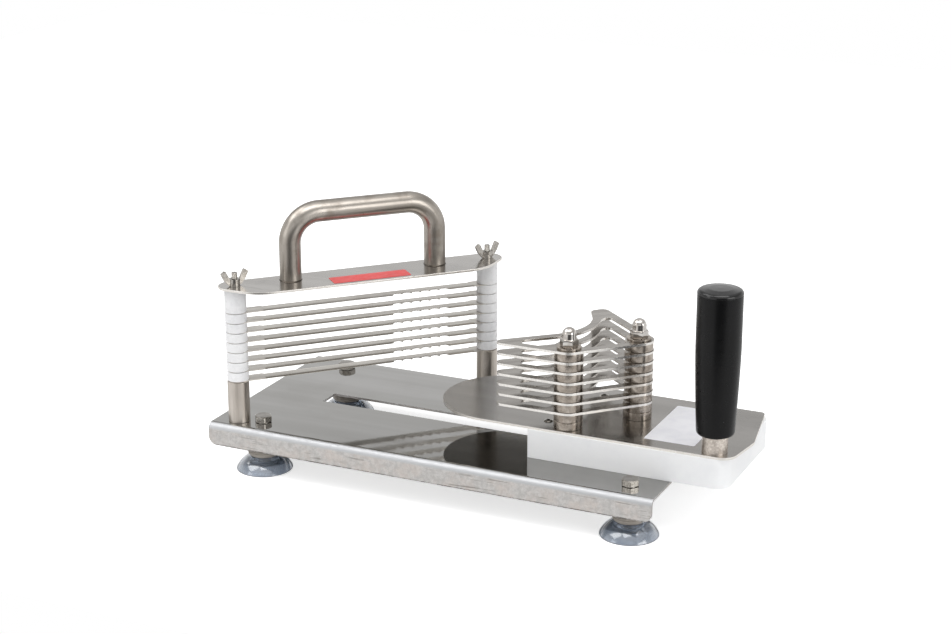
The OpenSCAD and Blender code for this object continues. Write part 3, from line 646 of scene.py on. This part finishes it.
FINISHES = {
    "base_steel": (base_steel, ["base"]),
    "top_plate_steel": (
        lambda: plate_steel("Top plate steel", tone(177, 174, 170), tone(163, 160, 156)),
        ["top_plate"],
    ),
    "slide_plate_steel": (
        lambda: plate_steel("Slide plate steel", tone(166, 163, 159), tone(150, 147, 143)),
        ["carriage_plate"],
    ),
    "pusher_steel": (pusher_steel, [f"pusher_plate_{i + 1}" for i in range(PUSHER_COUNT)]),
    "blade_steel": (blade_steel, [f"blade_{i + 1}" for i in range(BLADE_COUNT)]),
    "tube_steel": (tube_steel, ["carry_handle"]),
    "post_steel": (post_steel, ["post_tube_left", "post_tube_right"]),
    "ring_steel": (
        bright_steel,
        ["pusher_rod_front", "pusher_rod_rear", "pusher_rings_front", "pusher_rings_rear", "pusher_washers"],
    ),
    "nut_steel": (
        nut_steel,
        [
            "foot_bolts",
            "tie_rod_left",
            "tie_rod_right",
            "tie_rod_nuts",
            "tie_rod_washers",
            "wing_nut_left",
            "wing_nut_right",
            "plate_screws",
            "keeper_screws",
        ],
    ),
    "dome_steel": (dome_steel, ["dome_nuts"]),
    "spindle_steel": (spindle_steel, ["grip_spindle"]),
    "clip_steel": (clip_steel, ["grip_clip"]),
    "insert_brass": (insert_brass, ["thread_inserts"]),
    "white_spacer": (
        white_spacer,
        ["blade_rings_left", "blade_rings_right", "top_spacer_left", "top_spacer_right"],
    ),
    "white_block": (white_block, ["slide_block", "keeper"]),
    "black_grip": (black_grip, ["grip"]),
    "grip_cap": (grip_cap_plastic, ["grip_cap"]),
    "collar_rubber": (collar_rubber, [f"foot_collar_{corner}" for corner in CORNERS]),
    "cup_vinyl": (cup_plastic, [f"suction_cup_{corner}" for corner in CORNERS]),
    "cup_hub": (cup_hub_plastic, []),
    "red_label": (
        lambda: label_film("Red label", tone(228, 52, 52), tone(218, 45, 44)),
        ["frame_label"],
    ),
    "white_label": (
        lambda: label_film("White label", tone(240, 240, 244), tone(230, 230, 236)),
        ["carriage_label"],
    ),
}


def middle(node):
    """Centre of a node in plan, its radius and its lowest and highest point."""
    low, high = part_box(node)
    return ((low.x + high.x) / 2, (low.y + high.y) / 2), (high.x - low.x) / 2, low.z, high.z


def blade_angle():
    """Angle of the blades across the base, from one tie rod to the other."""
    (left_x, left_y), (right_x, right_y) = (middle(f"tie_rod_{side}")[0] for side in ("left", "right"))
    return math.atan2(right_y - left_y, right_x - left_x)


def dress(frame):
    """Gives every node its finish; gives the materials by finish."""
    materials = {}
    for finish, (make, names) in FINISHES.items():
        materials[finish] = make()
        for name in names:
            mesh = frame["nodes"][name].data
            mesh.materials.clear()
            mesh.materials.append(materials[finish])
    return materials


# Widths of the broken edges, in mm
EDGE_WIDTHS = {
    "base": 0.3,
    "top_plate": 0.3,
    "carriage_plate": 0.3,
    "slide_block": 1.1,
    "keeper": 0.6,
    "wing_nut_left": 0.5,
    "wing_nut_right": 0.5,
    "pusher_washers": 0.25,
    "pusher_rings_front": 0.55,
    "pusher_rings_rear": 0.55,
    "blade_rings_left": 0.45,
    "blade_rings_right": 0.45,
    "top_spacer_left": 0.45,
    "top_spacer_right": 0.45,
    "post_tube_left": 0.5,
    "post_tube_right": 0.5,
    **{f"pusher_plate_{i + 1}": 0.6 for i in range(PUSHER_COUNT)},
}


def round_edges(node, width):
    """Breaks the sharp edges of a node, so that they catch the light."""
    weld = node.modifiers.new("Joined corners", "WELD")
    weld.merge_threshold = 1e-6
    bevel = node.modifiers.new("Broken edges", "BEVEL")
    bevel.width = width * MM
    bevel.segments = 2
    bevel.limit_method = "ANGLE"
    bevel.angle_limit = math.radians(35)
    shading = node.modifiers.new("Even shading", "WEIGHTED_NORMAL")
    shading.keep_sharp = True


def spline(a, b, c, d, t):
    """A smooth value between b and c at the share t, led by the neighbours a and d."""
    square = 2 * a - 5 * b + 4 * c - d
    cube = 3 * b - a - 3 * c + d
    return 0.5 * (2 * b + (c - a) * t + square * t ** 2 + cube * t ** 3)


def smooth_run(points, steps):
    """A smooth run through the points, with steps between each two."""
    run = []
    last = len(points) - 1
    for i in range(last):
        near = [points[max(i - 1, 0)], points[i], points[i + 1], points[min(i + 2, last)]]
        for step in range(steps):
            run.append(tuple(spline(*values, step / steps) for values in zip(*near)))
    run.append(tuple(points[-1]))
    return run


def loft(mesh, rings, closed=False):
    """Skins a row of rings of points; a ring of one point closes an end."""
    made = [[mesh.verts.new(point) for point in ring] for ring in rings]
    steps = max(len(ring) for ring in made)
    pairs = list(zip(made, made[1:]))
    if closed:
        pairs.append((made[-1], made[0]))
    for lower, upper in pairs:
        for k in range(steps):
            corners = []
            for ring, place in ((lower, k), (lower, k + 1), (upper, k + 1), (upper, k)):
                vertex = ring[place % len(ring)]
                if vertex not in corners:
                    corners.append(vertex)
            if len(corners) > 2:
                mesh.faces.new(corners)


def shaped_ring(centre, steps, shape):
    """A ring of points; shape gives (radius, height) from the angle."""
    points = []
    for k in range(steps):
        angle = 2 * math.pi * k / steps
        radius, height = shape(angle)
        points.append((centre[0] + radius * math.cos(angle), centre[1] + radius * math.sin(angle), height))
    return points


def round_ring(centre, height, radius, steps=64):
    """A round level ring of points, or one point where the radius is 0."""
    if radius < 1e-6:
        return [(*centre, height)]
    return shaped_ring(centre, steps, lambda angle: (radius, height))


def turn_piece(mesh, profile, centre, steps, closed=False):
    """Adds a turned solid to the mesh: profile holds (radius, height) in metres."""
    loft(mesh, [round_ring(centre, height, radius, steps) for radius, height in profile], closed)


def hexagon_reach(flats, angle, turn):
    """Distance from the middle of a hexagon to its side."""
    return flats / 2 / math.cos((angle - turn) % (math.pi / 3) - math.pi / 6)


# Height of a washer face in mm, its radius as a share of the width across flats, and the
# chamfer above: its slope and the radius at which it starts
WASHER_FACE = 0.5
WASHER_FACE_SHARE = 0.46
CHAMFER = math.radians(28)
CHAMFER_SHARE = 0.485
# The small bevel at the foot of the sides: its share of their reach, and where it ends, as a
# multiple of the washer face's height
SIDE_FOOT_SHARE = 0.985
SIDE_FOOT_END = 1.4


def add_hexagon(mesh, centre, flats, foot, top, turn):
    """A hexagon head with a washer face below and a turned chamfer above."""
    steps = 60
    gap = WASHER_FACE * MM
    round_face = flats * WASHER_FACE_SHARE
    corner_start = flats * CHAMFER_SHARE

    def sides(angle):
        return hexagon_reach(flats, angle, turn)

    def chamfered(angle):
        reach = sides(angle)
        return reach, top - max(reach - corner_start, 0) * math.tan(CHAMFER)

    loft(mesh, [
        round_ring(centre, foot, 0),
        round_ring(centre, foot, round_face, steps),
        round_ring(centre, foot + gap, round_face, steps),
        shaped_ring(centre, steps, lambda angle: (sides(angle) * SIDE_FOOT_SHARE, foot + gap)),
        shaped_ring(centre, steps, lambda angle: (sides(angle), foot + gap * SIDE_FOOT_END)),
        shaped_ring(centre, steps, chamfered),
        round_ring(centre, top, corner_start * 0.99, steps),
        round_ring(centre, top, 0),
    ])


def new_piece(name, mesh, material, body, replaced, crease):
    """Turns the mesh into a piece that rides on a body and stands for the replaced nodes."""
    bmesh.ops.recalc_face_normals(mesh, faces=mesh.faces)
    for face in mesh.faces:
        face.smooth = True
    data = bpy.data.meshes.new(name)
    mesh.to_mesh(data)
    mesh.free()
    data.set_sharp_from_angle(angle=math.radians(crease))
    data.materials.append(material)
    piece = bpy.data.objects.new(name, data)
    bpy.context.scene.collection.objects.link(piece)
    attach(piece, body)
    if replaced:
        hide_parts(*replaced)


# Radius and height of the cup's bell, in mm for a rim of 23.35 mm
BELL_OUTSIDE = [(11.4, 11.9), (12.6, 11.4), (15.2, 9.9), (18.0, 7.7), (20.6, 5.0), (22.4, 2.4), (23.25, 0.9)]
BELL_RIM = [(23.35, 0.4), (23.2, 0.05), (22.6, 0.0), (22.1, 0.2)]
BELL_INSIDE = [(21.6, 1.0), (19.8, 3.0), (17.2, 5.0), (14.0, 6.6), (11.4, 7.2)]
# Radius and height of the hub, with the groove around its middle
HUB_PROFILE = [
    (0, 5.0), (10.6, 5.0), (11.35, 5.7), (11.35, 8.4), (10.7, 9.1), (10.7, 10.4), (11.35, 11.1),
    (11.35, 11.7), (11.0, 11.95), (0, 11.95),
]


def make_cup(corner, materials):
    """A clear bell with its thick dark hub, under one corner of the base."""
    node = f"suction_cup_{corner}"
    centre, _, foot, _ = middle(node)
    profile = smooth_run(BELL_OUTSIDE, 4) + BELL_RIM + smooth_run(BELL_INSIDE, 4)
    bell = bmesh.new()
    turn_piece(bell, [(r * MM, foot + z * MM) for r, z in profile], centre, 72, closed=True)
    new_piece(f"cup_bell_{corner}", bell, materials["cup_vinyl"], "base_frame", (node,), 60)
    hub = bmesh.new()
    turn_piece(hub, [(r * MM, foot + z * MM) for r, z in HUB_PROFILE], centre, 64)
    new_piece(f"cup_hub_{corner}", hub, materials["cup_hub"], "base_frame", (), 60)


# Width across flats of the M8 bolts and nuts; radius of a shank, of its end, and the length of
# the chamfer between them; all in mm
FLATS = 13
SHANK_RADIUS = 3.95
SHANK_END_RADIUS = 3.6
SHANK_CHAMFER = 0.5
# Direction of each bolt head, in degrees
BOLT_TURNS = (8, 50, 20, 35)


def make_foot_bolts(materials):
    """Hexagon bolts through the base, into the cups."""
    low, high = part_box("foot_bolts")
    base_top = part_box("base")[1].z
    shank = SHANK_RADIUS * MM
    profile = [
        (0, low.z), (SHANK_END_RADIUS * MM, low.z), (shank, low.z + SHANK_CHAMFER * MM), (shank, base_top),
        (0, base_top),
    ]
    bolts = bmesh.new()
    for corner, turn in zip(CORNERS, BOLT_TURNS):
        centre = middle(f"foot_collar_{corner}")[0]
        add_hexagon(bolts, centre, FLATS * MM, base_top, high.z, math.radians(turn))
        turn_piece(bolts, profile, centre, 32)
    new_piece(
        "hexagon_bolts", bolts, materials["nut_steel"], "base_frame", ("foot_bolts",), 22
    )


# Pitch and depth of a collar's ribs, its bore's radius, the rounding of its foot and the least
# height of its plain rim, in mm
RIB_PITCH = 1.5
RIB_DEPTH = 0.35
COLLAR_BORE = 4.2
COLLAR_ROUND = 3
COLLAR_RIM = 0.5
# Shares of the pitch at which a rib ends and its groove's floor starts and ends
RIB_END = 0.55
GROOVE_START = 0.7
GROOVE_END = 0.85


def make_collar(corner, materials):
    """A ribbed rubber collar between the base and a cup."""
    node = f"foot_collar_{corner}"
    centre, radius, foot, top = middle(node)
    bore = COLLAR_BORE * MM
    soft = COLLAR_ROUND * MM
    profile = [(bore, foot), (radius - soft, foot)]
    profile += [
        (radius - soft + soft * math.sin(a), foot + soft - soft * math.cos(a))
        for a in [math.radians(15 * k) for k in range(1, 7)]
    ]
    height = foot + soft
    pitch = RIB_PITCH * MM
    while height + pitch < top - COLLAR_RIM * MM:
        profile += [
            (radius, height + pitch * RIB_END),
            (radius - RIB_DEPTH * MM, height + pitch * GROOVE_START),
            (radius - RIB_DEPTH * MM, height + pitch * GROOVE_END),
            (radius, height + pitch),
        ]
        height += pitch
    profile += [(radius, top), (bore, top)]
    collar = bmesh.new()
    turn_piece(collar, profile, centre, 64, closed=True)
    rubber = materials["collar_rubber"]
    new_piece(f"ribbed_collar_{corner}", collar, rubber, "base_frame", (node,), 50)


# Height of a dome nut's hexagon, radius of its dome and height at which the dome has that radius,
# in mm above the hexagon
DOME_HEXAGON = 6.3
DOME_RADIUS = 5.75
DOME_FOOT = 0.5
# The dome starts this far inside the hexagon, in mm, and is this much wider there
DOME_SUNK = 0.2
DOME_FLARE = 1.04
# Rise of the dome as a share of its radius
DOME_RISE = 0.98


def make_dome_nuts(materials):
    """Two hexagon nuts with a polished dome."""
    low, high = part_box("dome_nuts")
    foot, top = low.z, high.z
    hex_top = foot + DOME_HEXAGON * MM
    radius = DOME_RADIUS * MM
    rise = radius * DOME_RISE
    start = hex_top - DOME_SUNK * MM
    dome = [(0, start), (radius * DOME_FLARE, start), (radius, hex_top + DOME_FOOT * MM)]
    dome += [
        (radius * math.cos(a), top - rise + rise * math.sin(a))
        for a in [math.radians(7.5 * k) for k in range(12)]
    ]
    dome.append((0, top))
    nuts = bmesh.new()
    for rod in ("pusher_rod_front", "pusher_rod_rear"):
        centre = middle(rod)[0]
        add_hexagon(nuts, centre, FLATS * MM, foot, hex_top, math.radians(12))
        turn_piece(nuts, dome, centre, 48)
    new_piece("domed_nuts", nuts, materials["dome_steel"], "carriage", ("dome_nuts",), 28)


# Pitch and depth of the tie rods' threads, how far the lower thread reaches above the foot of its
# nuts and how far the upper one reaches below the top of the plate, in mm
THREAD_PITCH = 0.8
THREAD_DEPTH = 0.42
LOWER_THREAD_REACH = 5
UPPER_THREAD_REACH = 1
# A rod's core stops this far inside the ends of its threads, in mm
CORE_SETBACK = 0.5
# Rounding of a thread's ends: its share of the radius at the foot and at the top, and the length
# in mm over which that share would grow by 1
THREAD_FOOT_SHARE = 0.75
THREAD_TOP_SHARE = 0.72
THREAD_END_LENGTH = 0.6


def add_thread(mesh, centre, radius, low, high):
    """A cut thread from low to high, closed at both ends."""
    steps = 28
    rows_per_turn = 6
    pitch = THREAD_PITCH * MM
    end = THREAD_END_LENGTH * MM
    rows = int((high - low) / pitch * rows_per_turn)
    rings = [round_ring(centre, low, 0)]
    for row in range(rows + 1):
        height = low + (high - low) * row / rows
        ends = min(1.0, (height - low) / end + THREAD_FOOT_SHARE, (high - height) / end + THREAD_TOP_SHARE)

        def cut(angle, height=height, ends=ends):
            phase = (height / pitch - angle / (2 * math.pi)) % 1
            return (radius - THREAD_DEPTH * MM * abs(phase * 2 - 1)) * ends, height

        rings.append(shaped_ring(centre, steps, cut))
    loft(mesh, rings + [round_ring(centre, high, 0)])


def make_tie_rods(materials):
    """Rods with cut threads at both ends."""
    plate_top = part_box("top_plate")[1].z
    nut_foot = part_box("tie_rod_nuts")[0].z
    for side in ("left", "right"):
        node = f"tie_rod_{side}"
        centre, radius, foot, top = middle(node)
        inner = radius - THREAD_DEPTH * MM
        start = foot + CORE_SETBACK * MM
        stop = top - CORE_SETBACK * MM
        rod = bmesh.new()
        turn_piece(rod, [(0, start), (inner, start), (inner, stop), (0, stop)], centre, 32)
        add_thread(rod, centre, radius, foot, nut_foot + LOWER_THREAD_REACH * MM)
        add_thread(rod, centre, radius, plate_top - UPPER_THREAD_REACH * MM, top)
        metal = materials["nut_steel"]
        new_piece(f"threaded_rod_{side}", rod, metal, "base_frame", (node,), 70)


# Radius of a screw's head, its rise over the plate and half the width of its socket, in mm
HEAD_RADIUS = 4
HEAD_RISE = 1
SOCKET = 1.45
# The head and its socket, from the rim inwards: height as a share of the rise, and share of the
# head's radius or of the socket's width
HEAD_RINGS = [(0.1, 1), (0.6, 0.86), (1, 0.62)]
SOCKET_RINGS = [(1, 1.12), (0.85, 1), (-0.6, 0.96)]


def make_plate_screws(materials):
    """Raised countersunk screws with a hexagon socket, in the carriage plate."""
    low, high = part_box("plate_screws")
    plate_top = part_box("carriage_plate")[1].z
    head = HEAD_RADIUS * MM
    rise = HEAD_RISE * MM
    steps = 48
    shank = [
        (0, low.z), (head / 2, low.z), (head / 2, plate_top - 2 * MM), (head, plate_top - 0.1 * MM),
        (head, plate_top + 0.1 * MM),
    ]

    def socket_ring(centre, share, part):
        """A ring of the socket: share of the rise as its height, part of its width."""
        across = 2 * SOCKET * MM * part
        height = plate_top + share * rise
        return shaped_ring(centre, steps, lambda angle: (hexagon_reach(across, angle, 0), height))

    screws = bmesh.new()
    for centre in ((low.x + head, low.y + head), (high.x - head, high.y - head)):
        turn_piece(screws, shank, centre, steps)
        rings = [
            round_ring(centre, plate_top + share * rise, head * part, steps)
            for share, part in HEAD_RINGS
        ]
        rings += [socket_ring(centre, share, part) for share, part in SOCKET_RINGS]
        rings.append(round_ring(centre, plate_top + SOCKET_RINGS[-1][0] * rise, 0))
        loft(screws, rings)
    bmesh.ops.remove_doubles(screws, verts=screws.verts, dist=1e-6)
    new_piece(
        "socket_screws", screws, materials["nut_steel"], "carriage", ("plate_screws",), 35
    )


# How much of white the floor gives to the camera by itself, and its half sizes and reach in front
FLOOR_GLOW = 0.65
FLOOR_SIZE = (1.6, 1.1)
FLOOR_FRONT = 0.36


def make_floor(height):
    """A pale floor under the cups."""
    half_width, half_depth = FLOOR_SIZE
    bpy.ops.mesh.primitive_plane_add(size=2, location=(0, half_depth - FLOOR_FRONT, height))
    floor = bpy.context.object
    floor.name = "floor"
    floor.scale = (half_width, half_depth, 1)
    material, tree, shader = new_finish("Pale floor")
    shader.inputs["Base Color"].default_value = tone(240, 240, 240)
    shader.inputs["Roughness"].default_value = 0.9
    shader.inputs["Specular IOR Level"].default_value = 0.1
    path = tree.nodes.new("ShaderNodeLightPath")
    seen = math_node(tree, "MAXIMUM", path.outputs["Is Camera Ray"], path.outputs["Is Transmission Ray"])
    glow = math_node(tree, "MULTIPLY", seen, FLOOR_GLOW)
    shader.inputs["Emission Color"].default_value = WHITE
    link(tree, glow, shader.inputs["Emission Strength"])
    floor.data.materials.append(material)


# Height of the direction from -1 to 1, and how light the studio is there for metal and clear vinyl
STUDIO_LIGHT = [
    (-1.0, 1.0), (0.2, 1.0), (0.3, 0.96), (0.35, 0.9), (0.39, 0.64), (0.55, 0.5), (0.78, 0.9), (1.0, 1.0),
]
# Where the studio is dark, in front of the object: direction in plan, and how light it is
DARK_SIDE = (0.42, -0.91, 0)
DARK_LEVEL = 0.1
FILL_LEVEL = 0.54


def make_world():
    """Even fill light; white where the camera looks, and in metal white low down and grey above."""
    world = bpy.data.worlds.new("Studio")
    bpy.context.scene.world = world
    world.use_nodes = True
    tree = world.node_tree
    tree.nodes.clear()
    out = tree.nodes.new("ShaderNodeOutputWorld")
    path = tree.nodes.new("ShaderNodeLightPath")
    fill = tree.nodes.new("ShaderNodeBackground")
    fill.inputs["Color"].default_value = WHITE
    fill.inputs["Strength"].default_value = FILL_LEVEL
    mirrored = tree.nodes.new("ShaderNodeBackground")
    split = tree.nodes.new("ShaderNodeSeparateXYZ")
    around = tree.nodes.new("ShaderNodeTexCoord").outputs["Generated"]
    link(tree, around, split.inputs["Vector"])
    height = tree.nodes.new("ShaderNodeMapRange")
    height.inputs["From Min"].default_value = -1
    link(tree, split.outputs["Z"], height.inputs["Value"])
    ramp = tree.nodes.new("ShaderNodeValToRGB")
    ramp.color_ramp.interpolation = "LINEAR"
    marks = ramp.color_ramp.elements
    while len(marks) < len(STUDIO_LIGHT):
        marks.new(0.5)
    for mark, (place, level) in zip(marks, STUDIO_LIGHT):
        mark.position = (place + 1) / 2
        mark.color = (level, level, level, 1)
    link(tree, height.outputs["Result"], ramp.inputs["Fac"])
    heading = tree.nodes.new("ShaderNodeVectorMath")
    heading.operation = "NORMALIZE"
    link(tree, stretch(tree, around, (1, 1, 0)), heading.inputs[0])
    facing = tree.nodes.new("ShaderNodeVectorMath")
    facing.operation = "DOT_PRODUCT"
    facing.inputs[1].default_value = DARK_SIDE
    link(tree, heading.outputs["Vector"], facing.inputs[0])
    front = remap(tree, facing.outputs["Value"], 0.8, 0.97)
    low = remap(tree, split.outputs["Z"], 0.02, 0.22, 1.0, 0.0)
    dark = math_node(tree, "MULTIPLY", front, low)
    level = (DARK_LEVEL, DARK_LEVEL, DARK_LEVEL, 1)
    link(tree, blend_colour(tree, dark, ramp.outputs["Color"], level), mirrored.inputs["Color"])
    seen = tree.nodes.new("ShaderNodeBackground")
    seen.inputs["Color"].default_value = WHITE
    glossy, through = path.outputs["Is Glossy Ray"], path.outputs["Is Transmission Ray"]
    pick = tree.nodes.new("ShaderNodeMixShader")
    link(tree, math_node(tree, "MAXIMUM", glossy, through), pick.inputs[0])
    link(tree, fill.outputs["Background"], pick.inputs[1])
    link(tree, mirrored.outputs["Background"], pick.inputs[2])
    last = tree.nodes.new("ShaderNodeMixShader")
    link(tree, path.outputs["Is Camera Ray"], last.inputs[0])
    link(tree, pick.outputs["Shader"], last.inputs[1])
    link(tree, seen.outputs["Background"], last.inputs[2])
    link(tree, last.outputs["Shader"], out.inputs["Surface"])


def lamp(name, place, aim, size, power):
    """A softbox at a place, turned toward the aim."""
    light = bpy.data.lights.new(name, "AREA")
    light.shape = "RECTANGLE"
    light.size, light.size_y = size
    light.energy = power
    holder = bpy.data.objects.new(name, light)
    bpy.context.scene.collection.objects.link(holder)
    holder.location = place
    holder.rotation_euler = (Vector(aim) - Vector(place)).to_track_quat("-Z", "Y").to_euler()


def make_lamps():
    aim = (0, 0, 0.08)
    lamp("Key softbox", (-1.6, -0.7, 2.2), aim, (2.2, 1.5), 24)
    lamp("Right softbox", (2.6, -0.8, 0.9), aim, (1.6, 1.4), 18)
    lamp("Left softbox", (-1.6, -2.0, 0.9), aim, (0.9, 1.2), 4)
    lamp("Top softbox", (0.4, -0.5, 2.4), aim, (2.0, 1.2), 20)


# The photograph's viewpoint in metres, its turn from the rear and dip in degrees, and the lens in mm
VIEWPOINT = (0.65423, -1.45446, 0.65286)
VIEW_TURN = 24.935
VIEW_DIP = 17.991
LENS = 78.33
SENSOR = 36


def make_camera():
    """A camera at the photograph's viewpoint."""
    camera = bpy.data.cameras.new("Camera")
    camera.lens = LENS
    camera.sensor_width = SENSOR
    holder = bpy.data.objects.new("Camera", camera)
    bpy.context.scene.collection.objects.link(holder)
    holder.location = VIEWPOINT
    holder.rotation_euler = (math.radians(90 - VIEW_DIP), 0, math.radians(VIEW_TURN))
    bpy.context.scene.camera = holder


def main():
    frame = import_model()
    cad_low, cad_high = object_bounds()
    materials = dress(frame)
    for name, width in EDGE_WIDTHS.items():
        round_edges(frame["nodes"][name], width)
    for corner in CORNERS:
        make_cup(corner, materials)
        make_collar(corner, materials)
    make_foot_bolts(materials)
    make_dome_nuts(materials)
    make_tie_rods(materials)
    make_plate_screws(materials)
    make_floor(cad_low.z)
    make_world()
    make_lamps()
    make_camera()
    bpy.context.scene.view_settings.view_transform = "Standard"


main()
